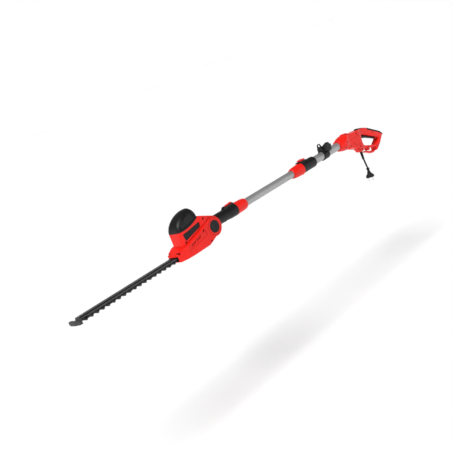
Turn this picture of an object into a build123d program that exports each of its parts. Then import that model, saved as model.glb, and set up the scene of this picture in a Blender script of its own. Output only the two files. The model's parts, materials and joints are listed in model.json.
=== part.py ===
from build123d import *
import math
import os

# Pole hedge trimmer, millimetres, +Z up.
# It is drawn in the pole frame: X = 0 at the head's tilt pivot, +X towards the rear handle,
# Y = 0 on the parting plane of the shells, Z = 0 on the pole axis. Each piece is moved on export
# so that the origin is the middle of the rear handle's grip bar.

# ---- driving dimensions ----
GRIP_X, GRIP_Z = 1130.0, -18.0          # middle of the grip bar in the pole frame
FIT = 0.05                              # radial clearance of a running fit
GAP = 0.3                               # clearance between pieces that move past each other
WALL = 2.8                              # plastic shell wall

PIVOT_Z = -4.0                          # tilt axis, just under the pole axis
TILT_UP, TILT_DOWN = 60.0, 75.0         # degrees that the head tilts each way

LOWER_TUBE_R, UPPER_TUBE_R = 15.35, 17.35
TUBE_WALL = 1.35
LOWER_TUBE_FROM, LOWER_TUBE_TO = 96.0, 930.0
UPPER_TUBE_FROM, UPPER_TUBE_TO = 612.0, 976.0
TELESCOPE_TRAVEL = 240.0

TOOTH_PITCH, TOOTH_COUNT = 24.0, 18
FIRST_TOOTH_X = -631.0
TOOTH_HALF_SPAN, SPINE_HALF = 32.5, 12.5
BLADE_Z, BLADE_T = -47.5, 2.3
BLADE_STROKE = 6.0                      # each way from mid stroke
BLADE_STAGGER = 2.5                     # lower blade's lead over the upper one at rest
BLADE_FRONT_X = -641.0
BAR_HALF, BAR_TOP_Z = 14.0, -35.0
NOSE_X = -204.0

MOTOR_X, CRANK_X = -112.0, -147.0       # motor shaft and crank axle, both upright
PINION_TEETH, GEAR_TEETH = 8, 48
MODULE = (MOTOR_X - CRANK_X) * 2 / (PINION_TEETH + GEAR_TEETH)
SHAFT_R, AXLE_R = 4.0, 4.0
ECCENTRIC_R = 11.5

HOUSING_HALF, LOWER_HALF = 33.0, 44.0   # half widths of the motor housing and the gear housing
SHOULDER_HALF = 38.0
HOUSING_FRONT_X, HOUSING_REAR_X = -157.0, -48.0
FIELD_R, ARMATURE_R, FAN_R = 29.5, 18.6, 26.0
EAR_R, EAR_INNER_Y = 37.0, 19.0
TONGUE_HALF = EAR_INNER_Y - GAP
NECK_R, NECK_CLEAR_R = 22.5, 38.5
PIVOT_PIN_R = 6.0
TILT_BUTTON_R = 23.4

NECK_END_X = 165.0
COLLAR_END_X = 228.0
SLEEVE_X0, SLEEVE_X1, SLEEVE_R = 605.0, 698.0, 23.5
COLLAR2_X0 = 540.0

CLAMP_X0, CLAMP_X1, CLAMP_R = 763.0, 798.0, 21.5
CLAMP_BOLT_Z = 30.0
KNOB_R, KNOB_Y0, KNOB_Y1 = 21.0, -24.0, -40.0
LOBE_R, LOBE_RISE = 6.5, 3.6            # the six lobes of the knob and their height over its hub

SWITCH_HALF, FRAME_HALF = 25.0, 17.5
CORD_X, CORD_R = 1038.0, 3.75
CORD_ROUTE = [(1038.0, 0.0, -80.0), (1038.6, 0.0, -110.0), (1042.6, 0.5, -136.0), (1046.0, 0.0, -162.0)]
PLUG_FACE_Z = -44.5
PIN_ROOT_R, PIN_ROOT, PIN_NOSE = 2.0, 6.0, 1.4
PLUG_TURN = -47.0                       # the plug's broad side faces the front left
PIN_SPACING, PIN_R, PIN_LENGTH = 19.0, 2.4, 19.0

UP = (0, 0, 1)
SIDE = (0, 1, 0)
ALONG = (1, 0, 0)


# ---- small helpers ----
def outline(points, radius=1.0):
    """Closed outline with each corner rounded; a point may carry its own radius as a third value.

    A radius that is too large for the runs beside its corner is drawn as the largest that fits.
    """
    corners = [Vector(p[0], p[1]) for p in points]
    count = len(corners)
    radii = []
    for i, corner in enumerate(corners):
        before, after = corner - corners[i - 1], corners[(i + 1) % count] - corner
        turn = math.radians(before.get_angle(after))
        largest = 0.48 * min(before.length, after.length) / math.tan(turn / 2)
        wanted = points[i][2] if len(points[i]) > 2 else radius
        radii.append(min(wanted, largest))
    return make_face(FilletPolyline(*corners, radius=radii, close=True))


def side_prism(points, y0, y1, radius=1.0):
    """Outline in X and Z, extruded from y0 to y1."""
    face = Plane.XZ * outline(points, radius)
    return Pos(0, y0, 0) * extrude(face, amount=y0 - y1)


def plan_prism(points, z0, z1, radius=1.0):
    """Outline in X and Y, extruded from z0 to z1."""
    return Pos(0, 0, z0) * extrude(outline(points, radius), amount=z1 - z0)


def rod(radius, start, direction, length):
    """Solid cylinder from a start point along a direction."""
    return extrude(Plane(origin=start, z_dir=direction) * Circle(radius), amount=length)


def ring(outer, inner, start, direction, length):
    """Hollow cylinder from a start point along a direction."""
    face = Plane(origin=start, z_dir=direction) * (Circle(outer) - Circle(inner))
    return extrude(face, amount=length)


def turned(profile):
    """Solid turned about the pole axis from a list of (x, r)."""
    face = Plane.XZ * make_face(Polyline(*profile, close=True))
    return revolve(face, axis=Axis.X)


def box(x0, x1, y0, y1, z0, z1):
    """Box between two corners."""
    return Pos((x0 + x1) / 2, (y0 + y1) / 2, (z0 + z1) / 2) * Box(x1 - x0, y1 - y0, z1 - z0)


def softened(solid, edges, radius):
    """Fillet the edges, with a smaller radius where the kernel can't do the first one."""
    for share in (1.0, 0.75, 0.5, 0.3):
        try:
            result = fillet(edges, radius * share)
            if result.is_valid:
                return result
        except (ValueError, RuntimeError):
            continue
    print("no fillet of", radius)
    return solid


def main_solid(shape):
    """The largest solid of a shape, without the slivers that crossing cuts leave."""
    return max(shape.solids(), key=lambda piece: piece.volume)


def edges_at_y(solid, y):
    """Edges that lie wholly in the plane at y."""
    def flat(edge):
        b = edge.bounding_box()
        return abs(b.min.Y - y) < 0.01 and abs(b.max.Y - y) < 0.01
    return [e for e in solid.edges() if flat(e)]


def screw(x, y, z, head_r, shank_r, length, side):
    """Pan-head cross-recessed screw lying along Y; side is +1 when its head is on the +Y side."""
    head = rod(head_r, (x, y, z), (0, -side, 0), 2.4)
    shank = rod(shank_r, (x, y - side * 2.4, z), (0, -side, 0), length)
    cross = Pos(x, y, z) * (Box(head_r * 1.3, 2.0, 0.9) + Box(0.9, 2.0, head_r * 1.3))
    return head + shank - cross


# ---- blades, bar and tip guard ----
def blade(z0, shift):
    """One blade: swept teeth on both edges, a slim spine and a windowed tail round its eccentric."""
    near = []
    for i in range(TOOTH_COUNT):
        x = FIRST_TOOTH_X + shift + i * TOOTH_PITCH
        near += [(x - 1.5, SPINE_HALF), (x - 1.8, TOOTH_HALF_SPAN), (x + 3.4, TOOTH_HALF_SPAN),
                 (x + 18.5, SPINE_HALF)]
    tail_front, tail_back = CRANK_X - 29.0, CRANK_X + 29.0
    tail = [(tail_front - 10, SPINE_HALF), (tail_front, 23.0), (tail_back, 23.0)]
    half = [(BLADE_FRONT_X, SPINE_HALF)] + near + tail
    points = half + [(x, -y) for x, y in reversed(half)]
    body = Pos(0, 0, z0) * extrude(make_face(Polyline(*points, close=True)), amount=BLADE_T)
    window = box(CRANK_X - 24.5, CRANK_X + 24.5, -18.5, 18.5, z0 - 1, z0 + BLADE_T + 1)
    slots = [rod(3.4, (x, 0, z0 - 1), UP, 6) + rod(3.4, (x - 13, 0, z0 - 1), UP, 6)
             + box(x - 13, x, -3.4, 3.4, z0 - 1, z0 + 5) for x in BLADE_BOLT_XS]
    return body - window - slots


BLADE_BOLT_XS = [FIRST_TOOTH_X + 34.0 + i * 96.0 for i in range(5)]


def blade_bar():
    """Stiff bar over the blades, with bevelled shoulders, lightening slots and a rebated front end."""
    z0 = BLADE_Z + 0.15 + BLADE_T + GAP
    section = [(-BAR_HALF, z0), (BAR_HALF, z0), (BAR_HALF, BAR_TOP_Z - 3.5), (BAR_HALF - 3.5, BAR_TOP_Z),
               (-BAR_HALF + 3.5, BAR_TOP_Z), (-BAR_HALF, BAR_TOP_Z - 3.5)]
    face = Plane.YZ * make_face(Polyline(*section, close=True))
    bar = Pos(-645, 0, 0) * extrude(face, amount=645 + NOSE_X + 14)
    tang = box(NOSE_X + 14, CRANK_X - 36, -BAR_HALF, BAR_HALF, z0, z0 + 3)
    rebate = box(-646, -615, -BAR_HALF - 1, BAR_HALF + 1, z0 - 1, z0 + 2.5)
    bar = bar + tang - rebate
    for x in BLADE_BOLT_XS:
        bar -= rod(3.05, (x - 6.5, 0, z0 - 5), UP, 30)
        bar -= rod(6.0, (x - 6.5, 0, BAR_TOP_Z - 4), UP, 10)
    for x in GUARD_RIVET_XS:
        bar -= rod(2.0, (x, 0, z0 - 5), UP, 30)
    return bar


GUARD_RIVET_XS = [-638.0, -624.0]


def tip_guard():
    """Wide guard across the blade tips, hung from a tongue in the bar's rebate, with a hanging hole."""
    top = BLADE_Z + 0.15 + BLADE_T + GAP + 2.5
    plan = [(-650, -33, 3), (-662, -33, 4), (-669, -12, 16), (-669, 12, 16), (-662, 33, 4), (-650, 33, 3)]
    block = plan_prism(plan, BLADE_Z - 5, top)
    block = softened(block, block.faces().sort_by(Axis.Z)[-1].edges(), 1.6)
    tongue = box(-652, -616, -11, 11, top - 2.5, top)
    guard = block + tongue - rod(4.2, (-658.5, 0, BLADE_Z - 20), UP, 40)
    for x in GUARD_RIVET_XS:
        guard -= rod(2.0, (x, 0, top - 9), UP, 30)
    return guard


def guard_rivets():
    top = BLADE_Z + 0.15 + BLADE_T + GAP
    return [rod(2.0, (x, 0, top), UP, BAR_TOP_Z - top) + rod(3.6, (x, 0, BAR_TOP_Z), UP, 1.2)
            for x in GUARD_RIVET_XS]


def blade_bolts():
    """Shouldered bolts that hold the blades against the bar, heads up, locknuts below."""
    bolts = []
    for x in BLADE_BOLT_XS:
        x -= 6.5
        low = BLADE_Z - 0.15 - BLADE_T - 4.5
        shank = rod(3.0, (x, 0, low), UP, BAR_TOP_Z - 4 - low)
        head = Pos(x, 0, BAR_TOP_Z - 4) * extrude(RegularPolygon(5.0, 6), amount=3.4)
        nut = Pos(x, 0, low) * extrude(RegularPolygon(5.4, 6), amount=4.0)
        bolts.append(shank + head + nut)
    return bolts


# ---- head: solids that the two shells are cut from ----
BOTTOM = [(-204, -51, 4), (-194, -57, 8), (-122, -58.5, 60), (-47, -57, 20), (-22, -48, 25)]
RIDGE = [(-204, -29.5, 4), (-158, -13, 25), (-72, 9, 60), (-30, 26, 20)]
SIDE_PANEL = [(-176, -41, 2), (-149, -21, 3), (-50, 4.5, 3), (-45, -16, 4), (-63, -20, 8)]
LABEL = [(-145, 27, 2), (-115, 30, 60), (-53, 39, 2), (-55, 21, 2), (-105, 9.5, 90), (-140, 1, 2)]
HEAD_SCREWS = [(-190, -27, 24), (-143, -4, 33), (-37, -46, 44), (-33, 42, 38), (-56, 4, 44)]
RIDGE_CHAMFER = 4.0


def gear_housing(inset):
    """Low wedge from the blade mouth back to the pivot; inset draws the same body smaller."""
    half = LOWER_HALF - inset
    side = outline(BOTTOM + [(8, -36, 10), (20, 10, 8)] + list(reversed(RIDGE)))
    plan = outline([(NOSE_X, -27, 24), (-150, -LOWER_HALF, 40), (30, -LOWER_HALF), (30, LOWER_HALF),
                    (-150, LOWER_HALF, 40), (NOSE_X, 27, 24)])
    if inset:
        side, plan = offset(side, -inset), offset(plan, -inset)
    slab = Pos(0, -half, 0) * extrude(Plane.XZ * side, amount=-2 * half)
    if not inset:
        ridge = [e for e in edges_at_y(slab, -half) + edges_at_y(slab, half)
                 if e.center().Z > -33 and e.center().X < 12]
        slab = chamfer(ridge, RIDGE_CHAMFER)
    return slab & (Pos(0, 0, -80) * extrude(plan, amount=140))


def rounded_plan(x0, x1, half, front, rear):
    """Plan section of the motor housing or its cap, with its front and rear corner radii."""
    return outline([(x0, -half, front), (x1, -half, rear), (x1, half, rear), (x0, half, front)])


def cap_side():
    """Block above the seam between cap and shells: level in front, rising behind."""
    seam = (Polyline((-137, 37.5), (-220, 37.5), (-220, 160), (40, 160), (40, 116), (-46, 60.5))
            + ThreePointArc((-46, 60.5), (-84, 44.5), (-137, 37.5)))
    return Pos(0, -90, 0) * extrude(Plane.XZ * make_face(seam), amount=-180)


def motor_column(inset, z0=-30, z1=120):
    face = rounded_plan(HOUSING_FRONT_X + inset, HOUSING_REAR_X - inset, HOUSING_HALF - inset,
                        13.0 - inset, 12.0 - inset)
    return Pos(0, 0, z0) * extrude(face, amount=z1 - z0)


def shoulder(inset):
    """Sloping shoulder from the motor housing down to the ears, wider towards the ears."""
    half = SHOULDER_HALF - inset
    face = outline([(-90, 5), (-90, 42), (-57, 61.5, 3), (-50, 60, 3), (24, 29.5, 6), (20, 0)])
    plan = outline([(-95, 1 - HOUSING_HALF), (-62, 1 - HOUSING_HALF, 30), (-38, -SHOULDER_HALF, 30),
                    (40, -SHOULDER_HALF), (40, SHOULDER_HALF), (-38, SHOULDER_HALF, 30),
                    (-62, HOUSING_HALF - 1, 30), (-95, HOUSING_HALF - 1)])
    if inset:
        face, plan = offset(face, -inset), offset(plan, -inset)
    return (Pos(0, -half, 0) * extrude(Plane.XZ * face, amount=-2 * half)) & extrude(plan, amount=90)


def upper_body(inset):
    """Motor housing and shoulder up to the cap's seam."""
    return (motor_column(inset) + shoulder(inset)) - cap_side()


def head_solid():
    ears = rod(EAR_R, (0, -LOWER_HALF - 1, PIVOT_Z), SIDE, 2 * LOWER_HALF + 2)
    ears = softened(ears, ears.edges().filter_by(GeomType.CIRCLE), 3.0)
    return gear_housing(0) + upper_body(0) + ears


def head_cavity():
    """Hollow for the gears, the motor and the fan."""
    room = gear_housing(WALL) + upper_body(WALL) + (motor_column(WALL, 20) & Pos(0, 0, -WALL) * cap_side())
    room -= Pos(0, 0, 0.01) * cap_side()
    return room & box(-300, -44, -60, 60, -100, 120)


def neck_sweep():
    """Room that the neck needs between and behind the ears, over the whole tilt."""
    slot = box(0, 190, -NECK_R - 1, NECK_R + 1, -NECK_R - 5, NECK_R + 5)
    room = rod(NECK_CLEAR_R + 1, (0, -EAR_INNER_Y, 0), SIDE, 2 * EAR_INNER_Y)
    for step in range(10):
        room += Rot(0, -TILT_UP + step * (TILT_UP + TILT_DOWN) / 9, 0) * slot
    kept = rod(NECK_CLEAR_R - 1.2, (0, EAR_INNER_Y, 0), SIDE, 60) + rod(NECK_CLEAR_R - 1.2, (0, -EAR_INNER_Y, 0),
                                                                      (0, -1, 0), 60)
    return Pos(0, 0, PIVOT_Z) * (room - kept)


def vent_slots(side):
    """Two groups of slanted cooling slits below the ridge."""
    slits = []
    for group in range(2):
        for i in range(5):
            x, z = -131 + group * 31 + i * 5.2, -22 + group * 7.5 + i * 1.2
            slits.append(Pos(x, side * LOWER_HALF, z) * Rot(0, 24, 0) * Box(2.2, 12, 10))
    return slits


def head_shell(side):
    """One half of the head housing; side is -1 for the left shell and +1 for the right one."""
    body = HEAD_BLOCK - head_cavity()
    for x, z, y in HEAD_SCREWS:
        boss = rod(4.6, (x, 0, z), (0, side, 0), y - 1)
        body += boss & HEAD_BLOCK
    body -= neck_sweep()
    body -= box(NOSE_X - 5, -186, -26, 26, BLADE_Z - 4.8, BAR_TOP_Z + 1.4)
    body -= rod(PIVOT_PIN_R + FIT, (0, -60, PIVOT_Z), SIDE, 120)
    body -= rod(TILT_BUTTON_R + GAP, (0, side * (LOWER_HALF - 8.0), PIVOT_Z), (0, side, 0), 20)
    body -= ring(EAR_R - 5.0, EAR_R - 6.4, (0, side * (LOWER_HALF + 0.2), PIVOT_Z), (0, side, 0), 3)
    body -= side_prism(SIDE_PANEL, min(side * (LOWER_HALF - 1.2), side * 60),
                       max(side * (LOWER_HALF - 1.2), side * 60))
    body -= vent_slots(side)
    body -= label_zone(side, 0.8, -5)
    for x, z, y in HEAD_SCREWS:
        body -= rod(4.1, (x, side * (y - 7.0), z), (0, side, 0), 30)
        body -= rod(1.5, (x, 0, z), (0, side, 0), y)
    return main_solid(body & box(-400, 300, min(0, side * 200), max(0, side * 200), -200, 200))


def label_zone(side, inner, outer):
    """Thin band over the motor housing's side inside the label's outline."""
    band = motor_column(outer) - motor_column(inner)
    y0, y1 = sorted((side * 12, side * 70))
    return band & side_prism(LABEL, y0, y1, 1.5)


def label_plates():
    return [label_zone(side, 0.8, -0.3) for side in (-1, 1)]


CAP_SECTIONS = [                        # z, front x, rear x, half width, front and rear corner radii
    (24, -157, -48, 33.0, 13, 12), (44, -156.4, -48, 33.0, 14, 12), (60, -151, -48.2, 32.4, 18, 12),
    (74, -140, -49, 30.6, 21, 13), (86, -123, -52, 26.5, 20, 15), (94, -105, -56.5, 20, 15, 14),
    (99.4, -86, -64, 9, 7, 7)]
CAP_WALL = 2.6
RECESS_Y = 29.8                         # flat sides of the cap, behind the arched ridge


def motor_cap():
    """Domed cap over the motor, with a flat vented recess in each side."""
    w = CAP_WALL
    skin = loft([Pos(0, 0, z) * rounded_plan(x0, x1, h, fr, rr) for z, x0, x1, h, fr, rr in CAP_SECTIONS])
    room = loft([Pos(0, 0, z - (w if z > 90 else 0)) * rounded_plan(x0 + w, x1 - w, h - w, fr - w, rr - w)
                 for z, x0, x1, h, fr, rr in CAP_SECTIONS])
    facets = box(-200, 0, -60, -RECESS_Y, 20, 120) + box(-200, 0, RECESS_Y, 60, 20, 120)
    inner = box(-200, 0, -60, w - RECESS_Y, 20, 120) + box(-200, 0, RECESS_Y - w, 60, 20, 120)
    cap = skin - (facets & Pos(0, 0, 5) * cap_side())
    cap -= room - (inner & Pos(0, 0, 5 - w) * cap_side())
    for side in (-1, 1):
        for i in range(6):
            angle = math.radians(150 - i * 10.5)
            x, z = -94 + 35 * math.cos(angle), 48 + 33 * math.sin(angle)
            cap -= Pos(x, side * 29, z) * Rot(0, 35 - i * 5, 0) * Box(2.4, 9, 8)
        for i in range(3):
            cap -= Pos(-73 + i * 5.5, side * 29, 74 - i * 3.0) * Rot(0, 10, 0) * Box(2.2, 9, 10)
        cap -= Pos(-141, side * 30, 51) * Box(4.5, 12, 4.5)
    return cap & cap_side()


def blade_guide():
    """Black liner in the blade mouth that guides the blades and seals the gear housing."""
    liner = box(-198, -186.5, -25.5, 25.5, BLADE_Z - 4.5, BAR_TOP_Z + 1.0)
    liner = liner & gear_housing(1.0)
    liner -= box(-210, -180, -BAR_HALF, BAR_HALF, BLADE_Z - 3, BAR_TOP_Z)
    return liner - box(-210, -180, -24.9, 24.9, BLADE_Z - 3.2, BLADE_Z + 3.2)


def head_screws():
    screws = []
    for x, z, y in HEAD_SCREWS:
        screws.append(screw(x, -(y - 7.0) - 2.6, z, 3.3, 1.45, y + 4, -1))
    return screws


# ---- head: motor and gearbox ----
def about_motor(solid):
    return Pos(MOTOR_X, 0, 0) * solid


def motor_field():
    """Laminated field with its windings, flattened at the sides to fit the housing."""
    stack = ring(FIELD_R, ARMATURE_R + 0.6, (0, 0, 6), UP, 44) & box(-40, 40, -27, 27, 0, 60)
    coils = ring(FIELD_R - 2.5, ARMATURE_R + 2.4, (0, 0, 1), UP, 54) - box(-7, 7, -40, 40, 0, 60)
    return about_motor(stack + (coils & box(-40, 40, -26.5, 26.5, 0, 60)))


def brush_bridge():
    """Bridge over the motor that carries the upper bearing and the two brush tubes."""
    plate = (rod(26, (0, 0, 73), UP, 3) & box(-12, 12, -40, 40, 0, 90)) + rod(12, (0, 0, 73), UP, 10)
    for side in (-1, 1):
        plate += Pos(0, side * 18.5, 67) * Box(12, 14, 13)
        plate += Pos(0, side * 24.4, 64.5) * Box(9, 3, 19)
        plate -= Pos(0, side * 18, 66) * Box(6.4, 22, 6)
    plate -= rod(SHAFT_R + 1, (0, 0, 60), UP, 40)
    return about_motor(plate - rod(8, (0, 0, 76), UP, 20))


def motor_brushes():
    return [about_motor(Pos(0, side * 17.7, 66) * Box(6.4, 14, 6)) for side in (-1, 1)]


def motor_bearings():
    """Ball bearings drawn as closed rings: one under the bridge's cap, one in the gearbox plate."""
    upper = ring(8, SHAFT_R + FIT, (MOTOR_X, 0, 76), UP, 6)
    lower = ring(11, SHAFT_R + FIT, (MOTOR_X, 0, -25), UP, 7)
    return [upper, lower]


def gearbox_plate():
    """Cast plate over the gears; it seats the lower motor bearing and the crank axle."""
    plan = [(-176, -18, 8), (-150, -36, 12), (-60, -37, 6), (-60, 37, 6), (-150, 36, 12), (-176, 18, 8)]
    plate = plan_prism(plan, -29, -25.5) & gear_housing(WALL)
    plate += ring(14, 11, (MOTOR_X, 0, -25.6), UP, 7.6)
    plate -= rod(SHAFT_R + 2, (MOTOR_X, 0, -40), UP, 40)
    plate -= rod(11, (MOTOR_X, 0, -25), UP, 20)
    return plate - rod(AXLE_R, (CRANK_X, 0, -40), UP, 40)


def crank_axle():
    return rod(AXLE_R, (CRANK_X, 0, -55), UP, 29.5) + rod(6.5, (CRANK_X, 0, -55), UP, 2.2)


def gear(teeth, centre_x, z0, height, bore, turn):
    """Spur gear with straight-flanked teeth and a little backlash."""
    pitch_r = MODULE * teeth / 2
    root, tip = pitch_r - 1.2 * MODULE, pitch_r + 0.85 * MODULE
    step = 2 * math.pi / teeth
    points = []
    for i in range(teeth):
        for radius, share in ((root, -0.27), (pitch_r, -0.19), (tip, -0.09), (tip, 0.09), (pitch_r, 0.19),
                              (root, 0.27)):
            angle = (i + share) * step + turn
            points.append((radius * math.cos(angle), radius * math.sin(angle)))
    body = Pos(centre_x, 0, z0) * extrude(make_face(Polyline(*points, close=True)), amount=height)
    return body - rod(bore, (centre_x, 0, z0 - 1), UP, height + 2)


def drive_pinion():
    return gear(PINION_TEETH, MOTOR_X, -39, 8.0, SHAFT_R - 1.2, math.pi + math.pi / PINION_TEETH)


def motor_shaft():
    thin = rod(SHAFT_R - 1.2, (MOTOR_X, 0, -39.5), UP, 10)
    return thin + rod(SHAFT_R, (MOTOR_X, 0, -31), UP, 114)


def armature_core():
    """Slotted armature with its end windings."""
    core = ring(ARMATURE_R, SHAFT_R, (0, 0, 9), UP, 38)
    for i in range(12):
        core -= Rot(0, 0, i * 30) * box(ARMATURE_R - 2.2, ARMATURE_R + 1, -0.9, 0.9, 0, 60)
    return about_motor(core + ring(ARMATURE_R - 3.2, SHAFT_R, (0, 0, 4.5), UP, 48))


def commutator():
    body = ring(10.3, SHAFT_R, (0, 0, 57), UP, 14.5)
    for i in range(12):
        body -= Rot(0, 0, i * 30) * box(9.2, 12, -0.3, 0.3, 58, 75)
    return about_motor(body)


def cooling_fan():
    """Radial fan under the armature."""
    fan = ring(9, SHAFT_R, (0, 0, -13), UP, 12) + ring(FAN_R, 8.5, (0, 0, -13), UP, 1.8)
    for i in range(9):
        fan += Rot(0, 0, i * 40) * box(8, FAN_R - 0.5, -0.9, 0.9, -12.5, -4)
    return about_motor(fan)


def crank_gear():
    body = gear(GEAR_TEETH, CRANK_X, -38, 6.0, AXLE_R + FIT, 0)
    body += ring(9, AXLE_R + FIT, (CRANK_X, 0, -32), UP, 2.6)
    for i in range(6):
        body -= Pos(CRANK_X, 0, 0) * Rot(0, 0, i * 60) * rod(4.5, (18, 0, -45), UP, 20)
    low_z = BLADE_Z - 0.15 - BLADE_T
    upper = rod(ECCENTRIC_R, (CRANK_X, BLADE_STROKE, BLADE_Z), UP, -38 - BLADE_Z)
    lower = rod(ECCENTRIC_R, (CRANK_X, -BLADE_STROKE, low_z), UP, BLADE_Z - low_z)
    hub = rod(AXLE_R + 3, (CRANK_X, 0, low_z), UP, -38 - low_z)
    return body + ((upper + lower + hub) - rod(AXLE_R + FIT, (CRANK_X, 0, -70), UP, 60))


# ---- tilt joint and neck ----
def pivot_pin():
    half = LOWER_HALF - 9.0
    return rod(PIVOT_PIN_R, (0, -half, PIVOT_Z), SIDE, 2 * half)


def tilt_button():
    """Round release button on the left ear."""
    face = LOWER_HALF + 2.0
    disc = rod(TILT_BUTTON_R, (0, -face, PIVOT_Z), SIDE, 5.6)
    disc = softened(disc, disc.edges().sort_by(Axis.Y)[:1], 2.2)
    dish = Pos(0, -face - 55.2, PIVOT_Z) * Sphere(56.0)
    return disc - dish


def pivot_cover():
    """Plain cover disc on the right ear."""
    disc = rod(TILT_BUTTON_R, (0, LOWER_HALF - 8.0, PIVOT_Z), SIDE, 9.2)
    return softened(disc, disc.edges().sort_by(Axis.Y)[-1:], 2.2)


def neck_solid():
    arm = turned([(5, 0), (5, NECK_R), (112, NECK_R), (130, 24.3), (NECK_END_X - 3, 25),
                  (NECK_END_X, 24.3), (NECK_END_X, 19.3), (NECK_END_X + 20, 19.3), (NECK_END_X + 20, 0)])
    platform = side_prism([(104, 18), (116, 29.5, 5), (162, 30.5, 4), (NECK_END_X, 18)], -11, 11)
    platform = softened(platform, [e for e in edges_at_y(platform, -11) + edges_at_y(platform, 11)
                                   if e.center().Z > 20], 3.5)
    outside = Pos(0, 0, PIVOT_Z) * rod(NECK_CLEAR_R, (0, -90, 0), SIDE, 180)
    arm -= outside - box(-90, 90, -TONGUE_HALF, TONGUE_HALF, -90, 90)
    tongue = rod(30, (0, -TONGUE_HALF, PIVOT_Z), SIDE, 2 * TONGUE_HALF)
    body = arm + platform + tongue
    body -= rod(LOWER_TUBE_R, (LOWER_TUBE_FROM, 0, 0), ALONG, 120)
    body -= rod(13, (44, 0, 0), ALONG, 40)
    body -= rod(PIVOT_PIN_R, (0, -60, PIVOT_Z), SIDE, 120)
    return body - box(122.5, 160.5, -7.3, 7.3, 20, 60)


NECK_SCREWS = [(88, -17.5), (88, 17.5), (150, 0)]


def neck_shell(side):
    body = neck_solid() & box(-100, 300, min(0, side * 99), max(0, side * 99), -99, 99)
    for x, z in NECK_SCREWS[:2]:
        body -= rod(3.4, (x, side * 10.5, z), (0, side, 0), 20)
        body -= rod(1.5, (x, 0, z), (0, side, 0), 12)
    return body


def neck_screws():
    return [screw(x, -10.5 - 2.4, z, 3.2, 1.45, 19, -1) for x, z in NECK_SCREWS[:2]]


def thumb_button(x0, x1, z_low, z_top):
    """Push button with a crowned back and a raised nub at its rear end."""
    crown = side_prism([(x0, z_low), (x0, z_top - 3, 2), (x0 + 12, z_top - 0.6, 30), (x1 - 8, z_top, 2),
                        (x1 - 6, z_top + 1.4, 1), (x1 - 2, z_top + 1.0, 1), (x1, z_top - 3, 2), (x1, z_low)],
                       -7, 7, 0.6)
    return softened(crown, [e for e in edges_at_y(crown, -7) + edges_at_y(crown, 7)
                            if e.center().Z > z_low + 3], 1.8)


def head_button():
    return thumb_button(122.8, 160.2, 23.5, 33.4)


def head_collar():
    return turned([(165.3, 19.35), (165.3, 23.6), (166.5, 24.3), (174, 24.3), (214, 22.8), (222, 21.6),
                   (226.5, 19.8), (COLLAR_END_X, 17.6), (COLLAR_END_X, 15.65), (188, 15.65), (188, 19.35)])


def tube(radius, x0, x1):
    return ring(radius, radius - TUBE_WALL, (x0, 0, 0), ALONG, x1 - x0)


def lower_tube():
    """Drawn tube with a shallow flat key on its upper side, which stops the head from turning."""
    key = box(250, 520, -6, 6, LOWER_TUBE_R - 0.25, 30)
    return tube(LOWER_TUBE_R, LOWER_TUBE_FROM, LOWER_TUBE_TO) - key


def inner_bush():
    """Bush on the lower tube's end that guides it inside the upper tube."""
    bore = UPPER_TUBE_R - TUBE_WALL
    plug = rod(LOWER_TUBE_R - TUBE_WALL, (LOWER_TUBE_TO - 18, 0, 0), ALONG, 18)
    head = rod(bore - FIT, (LOWER_TUBE_TO, 0, 0), ALONG, 14)
    return plug + head - rod(8, (LOWER_TUBE_TO - 30, 0, 0), ALONG, 60)


# ---- telescope joint ----
def telescope_sleeve():
    x0, x1 = SLEEVE_X0, SLEEVE_X1
    body = turned([(x0 - 22, 15.4), (x0 - 22, 19.3), (x0, 19.3), (x0, SLEEVE_R + 0.6), (x0 + 6, SLEEVE_R + 0.8),
                   (x0 + 40, SLEEVE_R), (x1 - 6, SLEEVE_R), (x1 - 2, SLEEVE_R - 1.6), (x1, SLEEVE_R - 4.2),
                   (x1, UPPER_TUBE_R), (UPPER_TUBE_FROM, UPPER_TUBE_R), (UPPER_TUBE_FROM, 15.4)])
    hood = side_prism([(594, 26.0), (594, 29, 2), (602, 29.6, 6), (646, 28.6, 6), (660, 18, 4), (606, 18), (606, 26.0)],
                      -10, 10, 0.8)
    hood = softened(hood, [e for e in edges_at_y(hood, -10) + edges_at_y(hood, 10) if e.center().Z > 24], 3.0)
    return body + (hood - rod(20, (590, 0, 0), ALONG, 80)) - box(608.7, 641.3, -7.3, 7.3, 21, 60)


def telescope_button():
    """Push button over the telescope joint, with a skirt in the sleeve's pocket."""
    skirt = box(609, 641, -7, 7, 24.5, 33)
    cap = side_prism([(601, 33.2), (601, 34.2, 1), (618, 36.2, 30), (634, 36, 20), (647, 32.4, 2), (646, 32.0)],
                     -7, 7, 0.4)
    return skirt + cap


def telescope_collar():
    x0, x1 = COLLAR2_X0, SLEEVE_X0 - GAP
    return turned([(x0, 15.65), (x0, 18.4), (x0 + 1.5, 19.8), (x0 + 10, 22.2), (x0 + 20, 23.6), (x0 + 50, 25.4),
                   (x1 - 2, 26.4), (x1, 25.6), (x1, 19.35), (x1 - 25, 19.35), (x1 - 25, 15.65)])


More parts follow.
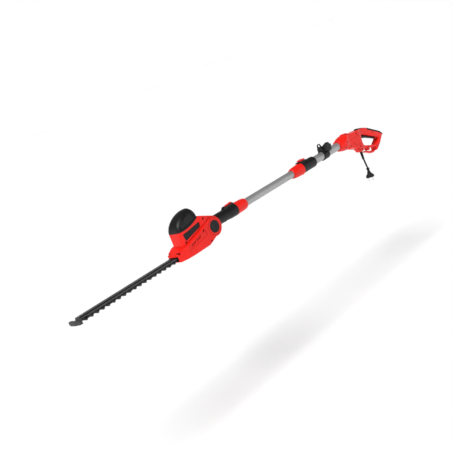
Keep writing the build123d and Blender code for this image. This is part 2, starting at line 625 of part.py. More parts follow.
# ---- strap clamp ----
def strap_clamp():
    """Split ring round the upper tube with two ears above it and an eye for a shoulder strap."""
    body = ring(CLAMP_R, UPPER_TUBE_R + FIT, (CLAMP_X0, 0, 0), ALONG, CLAMP_X1 - CLAMP_X0)
    ears = side_prism([(764, 14), (764, 34, 6), (770, 38, 6), (790, 38, 8), (797, 30, 8), (797, 14)], -16, 12)
    across = Plane(origin=(764, 0, 0), x_dir=SIDE, z_dir=ALONG)
    eye = across * outline([(-12, 8, 2), (-13, 42, 6), (-7, 54, 5), (4, 54, 6), (9, 44, 6), (9, 8, 2)])
    hole = across * outline([(-7.5, 40.5, 2), (-7.5, 46, 3), (-4.5, 50, 3), (1.5, 50, 3), (4.5, 46, 3), (4.5, 40.5, 2)])
    body += (ears + extrude(eye - hole, amount=5)) - rod(UPPER_TUBE_R + 1, (700, 0, 0), ALONG, 160)
    body -= box(700, 900, -1.4, 1.4, 10, 60) & box(766, 900, -5, 5, 0, 80)
    return body - rod(3.0, (780, -40, CLAMP_BOLT_Z), SIDE, 80)


def clamp_bolt():
    shank = rod(3.0, (780, -30, CLAMP_BOLT_Z), SIDE, 42)
    head = Plane(origin=(780, 12, CLAMP_BOLT_Z), z_dir=SIDE) * RegularPolygon(5.8, 6)
    return shank + extrude(head, amount=4.2)


def clamp_knob():
    """Lobed hand knob on the clamp bolt."""
    depth = KNOB_Y0 - KNOB_Y1
    hub = rod(KNOB_R - LOBE_RISE, (780, KNOB_Y0, CLAMP_BOLT_Z), (0, -1, 0), depth)
    knob = hub + rod(8, (780, -16.4, CLAMP_BOLT_Z), (0, -1, 0), 9)
    for i in range(6):
        angle = math.radians(i * 60 + 15)
        reach = KNOB_R - LOBE_R
        centre = (780 + reach * math.cos(angle), KNOB_Y0, CLAMP_BOLT_Z + reach * math.sin(angle))
        knob += rod(LOBE_R, centre, (0, -1, 0), depth)
    knob = softened(knob, knob.edges().group_by(Axis.Y)[0], 1.0)
    return knob - rod(3.0 + FIT, (780, KNOB_Y1 + 6, CLAMP_BOLT_Z), SIDE, 60)


# ---- rear handle ----
HANDLE_TOP = [(880, 33), (930, 32, 8), (961, 28.5, 20), (998, 23, 30), (1053, 21, 60), (1096, 16.5, 14),
              (1108, 11.5, 14), (1206, -39.5, 14), (1222, -55, 9), (1209, -64, 12), (1179, -89, 40),
              (1153, -104, 30), (1139, -110, 3), (1139, -90.5, 4), (1109, -85, 20), (1058, -70, 12),
              (998, -52, 14), (978, -43, 16), (960, -35, 14), (880, -35)]
BARREL = [(886, 22.5), (888.5, 24.5), (897, 27), (912, 31.5), (934, 34), (965, 50)]     # x, radius
D_OPENING = [(1050, -16, 7), (1064, -6, 4), (1166, -52, 4), (1184, -61.5, 4), (1149, -81.5, 8),
             (1110, -74.5, 20), (1074, -62.5, 20), (1051, -52.5, 8), (1046, -38, 12)]
HANDLE_SCREWS = [(1016, 12, 25), (1016, -49, 25), (1082, -71, 17.5), (1143, -24, 17.5), (1149, -89, 17.5),
                 (951, -23.5, 25), (917, -22, 24)]
TUBE_SCREW = (928.0, 2.0)               # short screw that clamps the tube from the left side
TRIGGER_PIVOT = (1163.0, 0.0, -45.5)


def handle_plan(inset):
    """Half widths seen from above: round barrel, flat switch housing, slim D-frame."""
    barrel, switch, frame = 31.0 - inset, SWITCH_HALF - inset, FRAME_HALF - inset
    upper = [(870, barrel, 4), (925, barrel, 12), (952, switch, 14), (1034, switch, 16), (1060, frame, 16),
             (1230, frame, 4)]
    return outline(upper + [(x, -y, r) for x, y, r in reversed(upper)])


def handle_body(inset):
    """Solid of the whole handle; inset draws the same body smaller for the hollow inside."""
    side = outline(HANDLE_TOP)
    hole = outline(D_OPENING)
    if inset:
        side, hole = offset(side, -inset), offset(hole, inset)
    body = extrude(Plane.XZ * (side - hole), amount=50, both=True)
    body &= Pos(0, 0, -150) * extrude(handle_plan(inset), amount=260)
    profile = [(x, r - inset) for x, r in BARREL]
    barrel = turned([(BARREL[0][0], 0)] + profile + [(BARREL[-1][0], 0)])
    body &= barrel + box(BARREL[-1][0], 1300, -60, 60, -200, 100)
    return body if inset else body + clamp_boss() + cord_lobe()


def clamp_boss():
    """Raised pad on top of the barrel's rear end."""
    return side_prism([(936, 20), (938, 33, 3), (943, 36, 4), (961, 36, 6), (976, 30, 8), (1000, 20)], -10, 10, 2)


def cord_lobe():
    """Narrow boss under the switch housing that the cord leaves through."""
    lobe = side_prism([(1004, -45), (1010, -60, 6), (1022, -77, 6), (1049.5, -77, 3), (1049.5, -45)], -13.5, 13.5)
    return softened(lobe, [e for e in edges_at_y(lobe, -13.5) + edges_at_y(lobe, 13.5) if e.center().Z < -62], 3.0)


def rounded_grip(body):
    """Round the long edges of the D-frame so that a hand can hold it."""
    chosen = [e for e in edges_at_y(body, -FRAME_HALF) + edges_at_y(body, FRAME_HALF)
              if e.center().X > 1062]
    return softened(body, chosen, 5.0)


def handle_cavity():
    room = handle_body(WALL) & box(936, 1230, -40, 40, -120, 60)
    return room - box(936, 990, -40, 40, 24, 60)


def handle_shell(side):
    """One half of the handle; side is -1 for the left shell and +1 for the right one."""
    body = rounded_grip(HANDLE_BLOCK) - handle_cavity()
    body += ring(UPPER_TUBE_R + 5, UPPER_TUBE_R, (936, 0, 0), ALONG, UPPER_TUBE_TO - 936)
    pin_x, pin_z = TRIGGER_PIVOT[0], TRIGGER_PIVOT[2]
    body += rod(6, (pin_x, side * 9.3, pin_z), (0, side, 0), 6)
    for x, z, y in HANDLE_SCREWS:
        body += rod(4.4, (x, 0, z), (0, side, 0), y - 1) & HANDLE_BLOCK
        body -= rod(3.6, (x, side * (y - 5.5), z), (0, side, 0), 30)
        body -= rod(1.5, (x, 0, z), (0, side, 0), y)
    if side < 0:
        body -= rod(3.6, (TUBE_SCREW[0], -25, TUBE_SCREW[1]), (0, -1, 0), 20)
        body -= rod(1.5, (TUBE_SCREW[0], 0, TUBE_SCREW[1]), (0, -1, 0), 40)
    body -= rod(UPPER_TUBE_R, (850, 0, 0), ALONG, UPPER_TUBE_TO - 850)
    body -= GRIP_PAD
    body -= trigger_room()
    body -= box(1047.6, 1097.4, -8.3, 8.3, -2, 60)
    body -= rod(9.5, (CORD_X, 0, -90), UP, 40) + rod(10.8, (CORD_X, 0, -73), UP, 3)
    body -= box(1026.5, 1045.5, -11.2, 11.2, -61, -50)
    body -= HOOK_ROOT
    body -= rod(TRIGGER_PIN_R + FIT, (pin_x, -11.5, pin_z), SIDE, 23)
    for z in (0.0, -37.0):
        body -= side_groove(side, z)
    return main_solid(body & box(800, 1300, min(0, side * 90), max(0, side * 90), -200, 100))


def side_groove(side, z):
    """Shallow moulded line along the switch housing."""
    y0, y1 = sorted((side * (SWITCH_HALF - 0.8), side * 60))
    if z == 0:
        return box(952, 1034, y0, y1, -0.8, 0.8)
    return side_prism([(972, -12.5, 1), (972, -14.0, 1), (991, -36, 3), (1034, -40, 1), (1034, -38.6, 1),
                       (992.5, -34.6, 3), (974, -12.5, 1)], y0, y1, 0.5)


def grip_pad():
    """Soft saddle over the top and back of the grip bar, a little proud of the shells."""
    half = FRAME_HALF + 0.6
    pad = side_prism([(1112, 10.4, 2), (1204, -37.4, 12), (1221, -54.5, 8), (1216, -58, 3), (1198, -43, 10),
                      (1114, -0.5, 2)], -half, half)
    return softened(pad, edges_at_y(pad, -half) + edges_at_y(pad, half), 4.5)


TRIGGER_PIN_R = 2.5
TRIGGER_SIDE = [(1067, -9, 2), (1160, -51, 2), (1170, -56, 3), (1163, -57.5, 2), (1143, -49, 20), (1106, -34, 16),
                (1078, -26, 10), (1069, -21, 5)]


def trigger():
    """Long trigger under the grip, hinged at its rear end, with the arm that works the switch."""
    blade_part = side_prism(TRIGGER_SIDE, -8.5, 8.5)
    low = [e for e in edges_at_y(blade_part, -8.5) + edges_at_y(blade_part, 8.5)]
    blade_part = softened(blade_part, low, 3.0)
    lug = side_prism([(1150, -42, 3), (1164, -39.5, 4), (1170, -45, 4), (1166, -56, 2), (1150, -51, 2)], -5, 5)
    arm = box(1073, 1081, -4, 4, -16, 0)
    pins = rod(TRIGGER_PIN_R, (TRIGGER_PIVOT[0], -11, TRIGGER_PIVOT[2]), SIDE, 22)
    return blade_part + lug + arm + pins


def trigger_room():
    """Opening for the trigger, over its whole travel."""
    zone = side_prism([(1064.5, -4, 1), (1064.5, -26, 1), (1180, -70, 1), (1172, -36, 1), (1150, -33, 1),
                       (1084, 4, 1), (1066, 8, 1)], -9.0, 9.0)
    return zone


def lock_off_button():
    crown = side_prism([(1048, 12, 1), (1048, 24.5, 2), (1053, 26.5, 2), (1060, 25.5, 8), (1093, 18.2, 3),
                        (1097, 16.5, 1.5), (1097, 12, 1)], -8, 8)
    crown = softened(crown, [e for e in edges_at_y(crown, -8) + edges_at_y(crown, 8) if e.center().Z > 14], 2.2)
    return crown


def switch_module():
    body = box(1004, 1038, -9, 9, -32, -6)
    return body + box(1037, 1042, -3, 3, -20, -12) - box(1012, 1030, -10, 10, -33, -30)


def capacitor():
    return box(980, 1001, -8, 8, -31, -21)


def terminal_block():
    block = box(1020, 1040, -7, 7, -46, -36)
    for x in (1024, 1030, 1036):
        block -= rod(1.6, (x, 0, -41), UP, 8)
    return block


def cord_clamp():
    """Saddle that grips the cord inside the handle."""
    return box(1027, 1045, -11, 11, -60, -55) - rod(CORD_R, (CORD_X, 0, -70), UP, 20)


HOOK_TONGUE = [(1057, -83.5, 2.5), (1072, -87, 10), (1090, -94.5, 12), (1104, -100, 8), (1141, -100.5, 3),
               (1141, -108.5, 2), (1128, -112, 6), (1112, -111.5, 10), (1098, -107.5, 8), (1083, -101, 8),
               (1072, -95, 8), (1057, -90.5, 2.5)]
HOOK_ROOT = side_prism([(1138, -101.5), (1146, -101), (1146, -105.5), (1138, -107)], -4, 4, 0.5)


def cord_hook():
    """Tongue under the D-frame that holds the extension lead's loop, rooted in the frame's rear corner."""
    tongue = side_prism(HOOK_TONGUE, -6, 6)
    tongue = softened(tongue, [e for e in edges_at_y(tongue, -6) + edges_at_y(tongue, 6)
                               if e.center().X < 1130], 1.6)
    return (tongue - HANDLE_BLOCK) + HOOK_ROOT


def hook_lug():
    """Stop under the frame's lower bar that keeps the loop on the tongue."""
    lug = side_prism([(1077, -68, 2), (1097, -74, 2), (1101.5, -86, 4), (1094, -92, 4), (1079, -87.5, 4)], -7.5, 7.5)
    return lug - HANDLE_BLOCK


def cord_gland():
    """Black tapered strain relief below the handle, ribbed and flexible, with its flange inside."""
    sleeve_part = Plane.XZ * make_face(Polyline((0, -68), (9.5, -68), (9.5, -70), (10.8, -70), (10.8, -73),
                                                (9.5, -73), (9.5, -76.5), (6.6, -79.5), (5.0, -116), (0, -116),
                                                close=True))
    body = Pos(CORD_X, 0, 0) * revolve(sleeve_part, axis=Axis.Z)
    for i in range(5):
        body -= ring(12, 5.9 - i * 0.28, (CORD_X, 0, -86 - i * 5.6), UP, 2.0)
    return body - CORD - rod(CORD_R, (CORD_X, 0, -80), UP, 80)


# ---- cord and plug ----
def cord_radii(points):
    """Fillet radius at each inner point: 0.45 of the shorter run over the tangent of half the turn."""
    radii = []
    for a, b, c in zip(points, points[1:], points[2:]):
        first, second = Vector(*b) - Vector(*a), Vector(*c) - Vector(*b)
        turn = math.radians(first.get_angle(second))
        radii.append(0.45 * min(first.length, second.length) / math.tan(turn / 2))
    return radii


def power_cord():
    radii = cord_radii(CORD_ROUTE)
    path = FilletPolyline(*CORD_ROUTE, radius=radii)
    start = Plane(origin=CORD_ROUTE[0], z_dir=path % 0)
    tube_solid = sweep(start * Circle(CORD_R), path=path)
    print("cord radii", [round(r) for r in radii], "length", round(path.length, 1),
          "volume / section x length", round(tube_solid.volume / (math.pi * CORD_R ** 2 * path.length), 4))
    return tube_solid


def plug_frame():
    """Frame at the plug's top face: its Z points up the cord."""
    return Pos(*CORD_ROUTE[-1]) * Rot(0, 0, PLUG_TURN) * Rot(0, 2.0, 0)


def plug_part(sections):
    """Loft through rounded sections given as width, depth and height."""
    return loft([Pos(0, 0, z) * RectangleRounded(w, d, min(w, d) * 0.45) for w, d, z in sections])


def plug_body():
    """Moulded mains plug: collar, ribbed neck and a body that flares to its face."""
    collar = plug_part([(13, 12, 0.0), (15.5, 14.5, -1.5), (15.5, 14.5, -4.5), (11.5, 10.5, -6.0)])
    neck = plug_part([(11.0, 10.0, -5.5), (12.0, 11.0, -13.0), (17.5, 15.5, -22.0)])
    flare = plug_part([(17.5, 15.5, -22.0), (29.0, 22.0, -31.0), (37.0, 26.0, -37.0), (38.0, 27.0, -40.5),
                       (36.0, 25.5, PLUG_FACE_Z)])
    body = collar + neck + flare
    for i in range(3):
        z = -8.6 - i * 3.4
        body -= Pos(0, 0, z) * (Box(40, 40, 1.2) - Box(9.8 + i * 0.5, 8.8 + i * 0.5, 2))
    for side in (-1, 1):
        body -= Pos(side * PIN_SPACING / 2, 0, PLUG_FACE_Z) * Cylinder(PIN_ROOT_R, 2 * PIN_ROOT)
    return (plug_frame() * body) - CORD


def plug_pins():
    """Two round pins; PIN_LENGTH of each stands out of the plug's face and its thinner root sits inside."""
    pins = []
    for side in (-1, 1):
        pin = Pos(side * PIN_SPACING / 2, 0, PLUG_FACE_Z - PIN_LENGTH / 2) * Cylinder(PIN_R, PIN_LENGTH)
        pin = softened(pin, pin.edges().filter_by(GeomType.CIRCLE).group_by(Axis.Z)[0], PIN_NOSE)
        pin += Pos(side * PIN_SPACING / 2, 0, PLUG_FACE_Z + PIN_ROOT / 2) * Cylinder(PIN_ROOT_R, PIN_ROOT)
        pins.append(plug_frame() * pin)
    return pins


def handle_screws():
    screws = [screw(x, -(y - 5.5) - 2.4, z, 3.3, 1.45, y + 6, -1) for x, z, y in HANDLE_SCREWS]
    return screws + [screw(TUBE_SCREW[0], -27.4, TUBE_SCREW[1], 3.3, 1.45, 7.0, -1)]


# ---- export ----
def save(name, solids):
    """Write one node, moved so that the origin is the middle of the grip bar."""
    solids = list(solids) if isinstance(solids, (list, tuple)) else [solids]
    pieces = [piece for solid in solids for piece in solid.solids()]
    pieces = [Pos(-GRIP_X, 0, -GRIP_Z) * piece for piece in pieces if piece.volume > 0.5]
    shape = pieces[0] if len(pieces) == 1 else Compound(children=pieces)
    export_step(shape, f"parts/{name}.step")


os.makedirs("parts", exist_ok=True)
HEAD_BLOCK = head_solid()
HANDLE_BLOCK = handle_body(0)
GRIP_PAD = grip_pad()
CORD = power_cord()

NODES = {
    "upper_blade": lambda: blade(BLADE_Z + 0.15, 0.0),
    "lower_blade": lambda: blade(BLADE_Z - 0.15 - BLADE_T, -BLADE_STAGGER),
    "blade_bar": blade_bar,
    "tip_guard": tip_guard,
    "guard_rivets": guard_rivets,
    "blade_bolts": blade_bolts,
    "blade_guide": blade_guide,
    "head_shell_left": lambda: head_shell(-1),
    "head_shell_right": lambda: head_shell(1),
    "motor_cap": motor_cap,
    "label_plates": label_plates,
    "head_screws": head_screws,
    "pivot_pin": pivot_pin,
    "tilt_button": tilt_button,
    "pivot_cover": pivot_cover,
    "motor_field": motor_field,
    "motor_bearings": motor_bearings,
    "motor_brushes": motor_brushes,
    "brush_bridge": brush_bridge,
    "gearbox_plate": gearbox_plate,
    "crank_axle": crank_axle,
    "motor_shaft": motor_shaft,
    "armature_core": armature_core,
    "commutator": commutator,
    "cooling_fan": cooling_fan,
    "drive_pinion": drive_pinion,
    "crank_gear": crank_gear,
    "neck_shell_left": lambda: neck_shell(-1),
    "neck_shell_right": lambda: neck_shell(1),
    "neck_screws": neck_screws,
    "head_button": head_button,
    "head_collar": head_collar,
    "lower_tube": lower_tube,
    "inner_bush": inner_bush,
    "telescope_collar": telescope_collar,
    "telescope_sleeve": telescope_sleeve,
    "telescope_button": telescope_button,
    "upper_tube": lambda: tube(UPPER_TUBE_R, UPPER_TUBE_FROM, UPPER_TUBE_TO),
    "strap_clamp": strap_clamp,
    "clamp_bolt": clamp_bolt,
    "clamp_knob": clamp_knob,
    "handle_shell_left": lambda: handle_shell(-1),
    "handle_shell_right": lambda: handle_shell(1),
    "handle_screws": handle_screws,
    "grip_pad": lambda: GRIP_PAD,
    "trigger": trigger,
    "lock_off_button": lock_off_button,
    "switch_module": switch_module,
    "capacitor": capacitor,
    "terminal_block": terminal_block,
    "cord_clamp": cord_clamp,
    "cord_hook": cord_hook,
    "hook_lug": hook_lug,
    "cord_gland": cord_gland,
    "power_cord": lambda: CORD,
    "plug_body": plug_body,
    "plug_pins": plug_pins,
}

for node, make in NODES.items():
    save(node, make())
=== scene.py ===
"""Looks of the pole hedge trimmer: camera, studio, materials and the smooth mains lead.

Everything is in metres in the part's own frame: the origin is the middle of the rear handle's
grip bar, +X runs along the pole towards the handle, +Z is up.
"""

import json
import math

import bpy
from mathutils import Matrix, Vector


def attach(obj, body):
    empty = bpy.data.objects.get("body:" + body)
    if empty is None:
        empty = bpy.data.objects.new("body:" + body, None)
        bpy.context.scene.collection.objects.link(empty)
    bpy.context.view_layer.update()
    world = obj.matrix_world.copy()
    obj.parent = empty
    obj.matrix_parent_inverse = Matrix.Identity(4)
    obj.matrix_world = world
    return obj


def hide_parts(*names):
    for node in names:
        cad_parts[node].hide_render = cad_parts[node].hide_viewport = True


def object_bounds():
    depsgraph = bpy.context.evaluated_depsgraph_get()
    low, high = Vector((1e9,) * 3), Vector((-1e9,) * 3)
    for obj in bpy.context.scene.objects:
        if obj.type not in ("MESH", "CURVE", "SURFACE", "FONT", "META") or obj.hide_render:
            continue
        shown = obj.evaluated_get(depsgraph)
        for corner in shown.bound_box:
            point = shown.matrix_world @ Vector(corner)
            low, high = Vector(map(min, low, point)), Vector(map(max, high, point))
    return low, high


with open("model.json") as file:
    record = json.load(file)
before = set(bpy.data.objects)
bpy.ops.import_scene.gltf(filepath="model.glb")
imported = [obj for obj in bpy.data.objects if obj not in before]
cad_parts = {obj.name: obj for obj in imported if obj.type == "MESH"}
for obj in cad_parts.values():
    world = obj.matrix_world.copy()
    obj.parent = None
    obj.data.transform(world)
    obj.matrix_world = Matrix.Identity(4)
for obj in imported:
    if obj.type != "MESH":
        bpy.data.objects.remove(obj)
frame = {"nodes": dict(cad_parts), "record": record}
CAD_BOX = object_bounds()
MM = 0.001

# ---- camera ----
CAMERA_AT = Vector((-3.031, -2.178, 0.599))
VIEW_AZIMUTH, VIEW_ELEVATION, VIEW_ROLL = -42.48, 11.85, -21.35     # degrees
FOCAL_MM, SENSOR_MM = 63.72, 36.0

# ---- studio ----
WHITE = (1.0, 1.0, 1.0, 1.0)
SKY_DIMS_FROM, SKY_DIMS_TO = 0.15, 0.40     # height of a direction of length 1
SKY_BELOW, SKY_OVERHEAD = 1.0, 0.2          # strength of the surround
FLOOR_DROP = 0.45                           # under the object's lowest point
FLOOR_HALF = 60.0                           # half its side, so its edge lies at the horizon
FLOOR_COLOUR = (0.93, 0.93, 0.93)
FLOOR_ROUGHNESS = 0.95
FLOOR_GLOW = 0.12                           # lifts the lit floor to the surround's white
SUN_ENERGY = 2.7
SUN_SPREAD = math.radians(24)
SUN_DIRECTION = Vector((0.62, 0.30, -1.0))

# ---- surfaces ----
PLASTICS = {                 # colour, roughness, grain per metre, depth of the grain
    "red_plastic": ((0.86, 0.011, 0.005), 0.36, 1400, 0.03 * MM),
    "black_plastic": ((0.006, 0.006, 0.0066), 0.42, 1100, 0.05 * MM),
    "guard_grey": ((0.05, 0.05, 0.053), 0.45, 1100, 0.05 * MM),
    "white_nylon": ((0.70, 0.69, 0.64), 0.5, 1200, 0.03 * MM),
}
METALS = {                   # colour, roughness, axis of the drawing lines, metallic
    "tube_aluminium": ((0.44, 0.44, 0.445), 0.48, "x", 0.7),
    "bright_steel": ((0.50, 0.50, 0.51), 0.28, "y", 1.0),
    "copper": ((0.60, 0.27, 0.12), 0.35, "z", 1.0),
    "lamination": ((0.16, 0.16, 0.17), 0.5, "y", 0.8),
    "cast_alloy": ((0.38, 0.39, 0.40), 0.5, "y", 1.0),
    "black_screw": ((0.03, 0.03, 0.032), 0.35, "y", 0.6),
    "pin_metal": ((0.70, 0.70, 0.71), 0.18, "z", 1.0),
}
BLADE_FLAT = (0.006, 0.006, 0.0065), (0.014, 0.014, 0.015)      # the range of each colour
BLADE_FLANK = (0.05, 0.05, 0.052), (0.16, 0.16, 0.165)
RUBBER = (0.0085, 0.0085, 0.0094), (0.012, 0.012, 0.0132)
# painted shade: how far the darkening of gaps and recesses reaches, and how much of it goes into
# the colour
PAINTED_SHADE_REACH, PAINTED_SHADE_SHARE = 6.0 * MM, 0.85
PLASTIC_EDGE, METAL_EDGE, RUBBER_EDGE = 0.6 * MM, 0.3 * MM, 0.5 * MM
DRAWN_ACROSS, DRAWN_ALONG = 900.0, 12.0     # grain of drawn metal per metre
FLANK_BELOW = 0.5                           # a face is a flank where its normal is less high

# ---- the mains lead: the same route as in part.py, moved to the grip bar's frame ----
CORD_ROUTE = [
    (-0.0920, 0.0, -0.0620),
    (-0.0914, 0.0, -0.0920),
    (-0.0874, 0.0005, -0.1180),
    (-0.0840, 0.0, -0.1440),
]
CORD_DIAMETER = 0.0075


def make_camera():
    """Camera that looks along the stated azimuth and elevation, rolled about its own axis."""
    data = bpy.data.cameras.new("camera")
    data.lens, data.sensor_width = FOCAL_MM, SENSOR_MM
    camera = bpy.data.objects.new("camera", data)
    bpy.context.scene.collection.objects.link(camera)
    azimuth, elevation = math.radians(VIEW_AZIMUTH), math.radians(VIEW_ELEVATION)
    forward = Vector((-math.sin(azimuth) * math.cos(elevation),
                      math.cos(azimuth) * math.cos(elevation),
                      -math.sin(elevation)))
    level = Vector((math.cos(azimuth), math.sin(azimuth), 0))
    right = Matrix.Rotation(math.radians(-VIEW_ROLL), 3, forward) @ level
    up = right.cross(forward)
    turn = Matrix((right, up, -forward)).transposed()
    camera.matrix_world = Matrix.Translation(CAMERA_AT) @ turn.to_4x4()
    bpy.context.scene.camera = camera


# ---- studio ----
def make_surround():
    """White surround that is dimmer overhead, so that upward faces keep their colour."""
    world = bpy.data.worlds.new("studio")
    world.use_nodes = True
    tree = world.node_tree
    background = tree.nodes["Background"]
    place = tree.nodes.new("ShaderNodeTexCoord")
    parts = tree.nodes.new("ShaderNodeSeparateXYZ")
    sky = tree.nodes.new("ShaderNodeMapRange")
    sky.inputs["From Min"].default_value = SKY_DIMS_FROM
    sky.inputs["From Max"].default_value = SKY_DIMS_TO
    sky.inputs["To Min"].default_value = SKY_BELOW
    sky.inputs["To Max"].default_value = SKY_OVERHEAD
    tree.links.new(place.outputs["Generated"], parts.inputs["Vector"])
    tree.links.new(parts.outputs["Z"], sky.inputs["Value"])
    tree.links.new(sky.outputs["Result"], background.inputs["Strength"])
    background.inputs["Color"].default_value = WHITE
    bpy.context.scene.world = world


def make_floor():
    """Plain pale floor, far enough below the object that its shadow falls clear of it."""
    low, high = CAD_BOX
    middle = (low + high) / 2
    corners = [(middle.x + side_x * FLOOR_HALF, middle.y + side_y * FLOOR_HALF, low.z - FLOOR_DROP)
               for side_x, side_y in ((-1, -1), (1, -1), (1, 1), (-1, 1))]
    mesh = bpy.data.meshes.new("floor")
    mesh.from_pydata(corners, [], [(0, 1, 2, 3)])
    floor = bpy.data.objects.new("floor", mesh)
    bpy.context.scene.collection.objects.link(floor)
    material = bpy.data.materials.new("floor")
    material.use_nodes = True
    inputs = material.node_tree.nodes["Principled BSDF"].inputs
    inputs["Base Color"].default_value = (*FLOOR_COLOUR, 1)
    inputs["Roughness"].default_value = FLOOR_ROUGHNESS
    inputs["Emission Color"].default_value = WHITE
    inputs["Emission Strength"].default_value = FLOOR_GLOW
    floor.data.materials.append(material)


def make_sun():
    """One soft sun from above."""
    light = bpy.data.lights.new("sun", "SUN")
    light.energy, light.angle = SUN_ENERGY, SUN_SPREAD
    sun = bpy.data.objects.new("sun", light)
    sun.rotation_mode = "QUATERNION"
    sun.rotation_quaternion = SUN_DIRECTION.to_track_quat("-Z", "Y")
    bpy.context.scene.collection.objects.link(sun)


def make_studio():
    bpy.context.scene.view_settings.view_transform = "Standard"
    make_surround()
    make_floor()
    make_sun()


# ---- materials ----
class Nodes:
    """Short calls for building one material's node tree."""

    def __init__(self, name):
        self.material = bpy.data.materials.new(name)
        self.material.use_nodes = True
        self.tree = self.material.node_tree
        self.shader = self.tree.nodes["Principled BSDF"]
        self.place = self.add("ShaderNodeTexCoord").outputs["Object"]

    def add(self, kind, **settings):
        node = self.tree.nodes.new(kind)
        for key, value in settings.items():
            setattr(node, key, value)
        return node

    def link(self, output, socket):
        self.tree.links.new(output, socket)

    def surface(self, colour, roughness, normal):
        """The three outputs that drive the shader's base colour, roughness and normal."""
        self.link(colour, self.shader.inputs["Base Color"])
        self.link(roughness, self.shader.inputs["Roughness"])
        self.link(normal, self.shader.inputs["Normal"])

    def set(self, **values):
        """Plain values for the shader's inputs, with underscores for the spaces in their names."""
        for key, value in values.items():
            self.shader.inputs[key.replace("_", " ")].default_value = value

    def noise(self, scale, detail, roughness=0.55, stretch=(1, 1, 1)):
        mapping = self.add("ShaderNodeMapping")
        mapping.inputs["Scale"].default_value = stretch
        self.link(self.place, mapping.inputs["Vector"])
        texture = self.add("ShaderNodeTexNoise")
        texture.inputs["Scale"].default_value = scale
        texture.inputs["Detail"].default_value = detail
        texture.inputs["Roughness"].default_value = roughness
        self.link(mapping.outputs["Vector"], texture.inputs["Vector"])
        return texture.outputs["Fac"]

    def ramp(self, factor, low, high):
        """Colour that goes from low to high over the middle of the factor's range."""
        ramp = self.add("ShaderNodeValToRGB")
        first, last = ramp.color_ramp.elements
        first.position, last.position = 0.3, 0.7
        first.color, last.color = (*low, 1), (*high, 1)
        self.link(factor, ramp.inputs["Fac"])
        return ramp.outputs["Color"]

    def span(self, factor, low, high):
        """Factor mapped from 0..1 to low..high."""
        span = self.add("ShaderNodeMapRange")
        span.inputs["To Min"].default_value = low
        span.inputs["To Max"].default_value = high
        self.link(factor, span.inputs["Value"])
        return span.outputs["Result"]

    def mix(self, factor, first, second):
        """Colour between first and second; the factor is a number or another node's output."""
        mix = self.add("ShaderNodeMix", data_type="RGBA")
        if isinstance(factor, float):
            mix.inputs["Factor"].default_value = factor
        else:
            self.link(factor, mix.inputs["Factor"])
        self.link(first, mix.inputs["A"])
        self.link(second, mix.inputs["B"])
        return mix.outputs["Result"]

    def soft_edges(self, radius):
        """Normal that rounds sharp edges a little."""
        bevel = self.add("ShaderNodeBevel", samples=4)
        bevel.inputs["Radius"].default_value = radius
        return bevel.outputs["Normal"]

    def bump(self, height, strength, distance, normal):
        bump = self.add("ShaderNodeBump")
        bump.inputs["Strength"].default_value = strength
        bump.inputs["Distance"].default_value = distance
        self.link(height, bump.inputs["Height"])
        self.link(normal, bump.inputs["Normal"])
        return bump.outputs["Normal"]

    def painted_recess_shade(self, colour):
        """Colour with painted shade: an ambient-occlusion node darkens it inside narrow gaps and
        recesses.
        """
        closed = self.add("ShaderNodeAmbientOcclusion", samples=6)
        closed.inputs["Distance"].default_value = PAINTED_SHADE_REACH
        self.link(colour, closed.inputs["Color"])
        return self.mix(PAINTED_SHADE_SHARE, colour, closed.outputs["Color"])

    def upright(self):
        """1 on faces that stand upright in the world, 0 on flat ones."""
        parts = self.add("ShaderNodeSeparateXYZ")
        self.link(self.add("ShaderNodeNewGeometry").outputs["True Normal"], parts.inputs["Vector"])
        level = self.add("ShaderNodeMath", operation="ABSOLUTE")
        self.link(parts.outputs["Z"], level.inputs[0])
        flank = self.add("ShaderNodeMath", operation="LESS_THAN")
        self.link(level.outputs["Value"], flank.inputs[0])
        flank.inputs[1].default_value = FLANK_BELOW
        return flank.outputs["Value"]


def scaled(colour, share):
    return tuple(min(1.0, c * share) for c in colour)


def moulded_plastic(name, colour, roughness, grain, grain_depth):
    """Injection-moulded plastic: faint flow variation in colour, painted shade in gaps and
    recesses, spark-eroded grain, soft edges.
    """
    n = Nodes(name)
    body = n.ramp(n.noise(14, 4), scaled(colour, 0.93), scaled(colour, 1.06))
    n.surface(n.painted_recess_shade(body),
              n.span(n.noise(220, 2), roughness * 0.86, roughness * 1.16),
              n.bump(n.noise(grain, 2, 0.6), 0.35, grain_depth, n.soft_edges(PLASTIC_EDGE)))
    n.set(Specular_IOR_Level=0.28)
    return n.material


def drawn_metal(name, colour, roughness, along, metallic):
    """Metal with fine drawing lines along one axis."""
    n = Nodes(name)
    stretch = [DRAWN_ALONG if axis == along else DRAWN_ACROSS for axis in "xyz"]
    lines = n.noise(1.0, 3, 0.6, stretch)
    n.surface(n.ramp(n.noise(9, 3), scaled(colour, 0.92), scaled(colour, 1.06)),
              n.span(lines, roughness * 0.75, roughness * 1.3),
              n.bump(lines, 0.25, 0.02 * MM, n.soft_edges(METAL_EDGE)))
    n.set(Metallic=metallic)
    return n.material


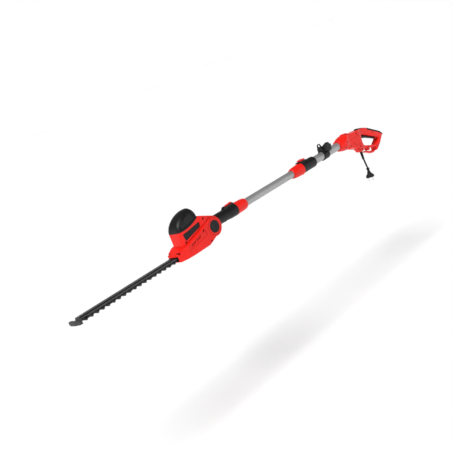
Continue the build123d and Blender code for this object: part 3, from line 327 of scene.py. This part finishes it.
def blade_steel():
    """Oil-blackened flat faces, and brighter flanks where the teeth are ground."""
    n = Nodes("blade_steel")
    blackened = n.ramp(n.noise(30, 5), *BLADE_FLAT)
    ground = n.ramp(n.noise(1.0, 3, 0.6, (2200, 2200, 60)), *BLADE_FLANK)
    n.surface(n.mix(n.upright(), blackened, ground),
              n.span(n.noise(140, 4), 0.30, 0.48),
              n.bump(n.noise(900, 3), 0.25, 0.03 * MM, n.soft_edges(METAL_EDGE)))
    n.set(Metallic=0.3, Specular_IOR_Level=0.35)
    return n.material


def soft_rubber():
    """Matt soft-touch rubber with a fine grain."""
    n = Nodes("soft_rubber")
    n.surface(n.ramp(n.noise(40, 4), *RUBBER),
              n.span(n.noise(160, 3), 0.62, 0.82),
              n.bump(n.noise(1500, 2), 0.4, 0.15 * MM, n.soft_edges(RUBBER_EDGE)))
    n.set(Specular_IOR_Level=0.3)
    return n.material


def make_materials():
    """One material for each slot in the record, under the slot's name."""
    materials = {name: moulded_plastic(name, *look) for name, look in PLASTICS.items()}
    materials |= {name: drawn_metal(name, *look) for name, look in METALS.items()}
    materials["blade_steel"] = blade_steel()
    materials["soft_rubber"] = soft_rubber()
    return materials


def dress_cad_nodes(materials):
    """Every CAD node takes the material of its own slot in the record."""
    slots = {part["node"]: part["material_slot"] for part in frame["record"]["subparts"]}
    for name, node in frame["nodes"].items():
        node.data.materials.clear()
        node.data.materials.append(materials[slots[name]])


# ---- mains lead ----
def make_cord(materials):
    """Smooth lead along the route, in place of the CAD node of the same cord."""
    curve = bpy.data.curves.new("mains_lead", "CURVE")
    curve.dimensions = "3D"
    curve.bevel_depth = CORD_DIAMETER / 2
    curve.bevel_resolution = 8
    curve.use_fill_caps = True
    curve.resolution_u = 24
    spline = curve.splines.new("NURBS")
    spline.points.add(len(CORD_ROUTE) - 1)
    for point, at in zip(spline.points, CORD_ROUTE):
        point.co = (*at, 1)
    spline.order_u = 3
    spline.use_endpoint_u = True
    curve.materials.append(materials["soft_rubber"])
    lead = bpy.data.objects.new("mains_lead", curve)
    bpy.context.scene.collection.objects.link(lead)
    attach(lead, "rear_handle")
    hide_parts("power_cord")


make_camera()
MATERIALS = make_materials()
make_cord(MATERIALS)
make_studio()
dress_cad_nodes(MATERIALS)
